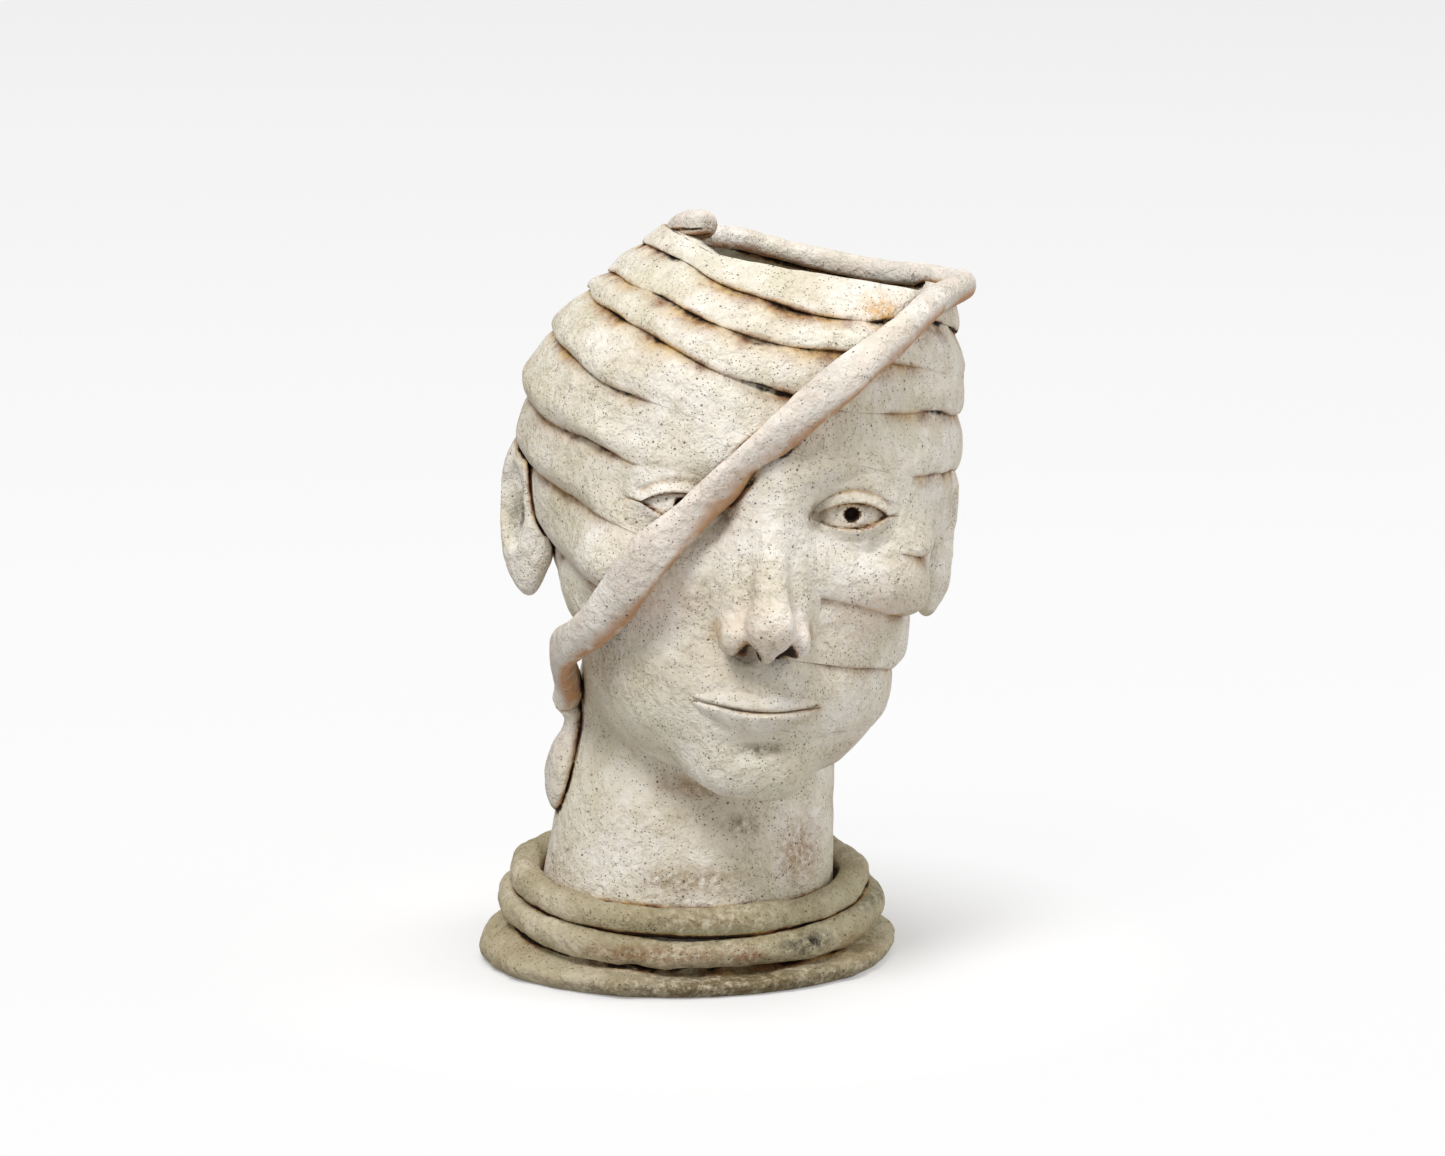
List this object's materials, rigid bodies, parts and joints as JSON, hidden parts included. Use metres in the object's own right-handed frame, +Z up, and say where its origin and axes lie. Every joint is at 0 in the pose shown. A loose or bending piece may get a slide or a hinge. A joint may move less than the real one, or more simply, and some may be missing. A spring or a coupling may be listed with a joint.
{
  "type": "ceramic head vase",
  "caption": "Hand-built ceramic vase in the form of a head on a flared foot, open at the crown, with a rolled clay strap across the face.",
  "frame": {"origin": "middle of the foot's resting face, on the table", "axes": "+Z up from the foot to the mouth, the face looks along -Y, +X to the right of someone who looks at the face"},
  "size_m": [0.1991, 0.2269, 0.2996],
  "materials": {
    "body_clay": "speckled cream clay, matte, stained dark in the seams",
    "strap_clay": "the same clay with a pink tint above and an ochre flank",
    "foot_clay": "the same clay, stained brown in the joints",
    "eye_clay": "the same clay rubbed smooth"
  },
  "bodies": {
    "root": {"foot_slab": "foot_clay", "collar_coil_lower": "foot_clay", "collar_coil_upper": "foot_clay", "neck_wall": "body_clay", "lip_band": "body_clay", "head_band_2": "body_clay", "head_band_3": "body_clay", "head_band_4": "body_clay", "head_band_5": "body_clay", "head_band_6": "body_clay", "head_band_7": "body_clay", "head_band_8": "body_clay", "jaw_wall": "body_clay", "rim_coil": "strap_clay", "strap_coil": "strap_clay", "strap_tail": "strap_clay", "upper_eyelid_left": "body_clay", "lower_eyelid_left": "body_clay", "eyeball_left": "eye_clay", "upper_eyelid_right": "body_clay", "lower_eyelid_right": "body_clay", "eyeball_right": "eye_clay", "nose": "body_clay", "upper_lip": "body_clay", "lower_lip": "body_clay", "ear_left": "body_clay", "ear_right": "body_clay"}
  },
  "joints": []
}
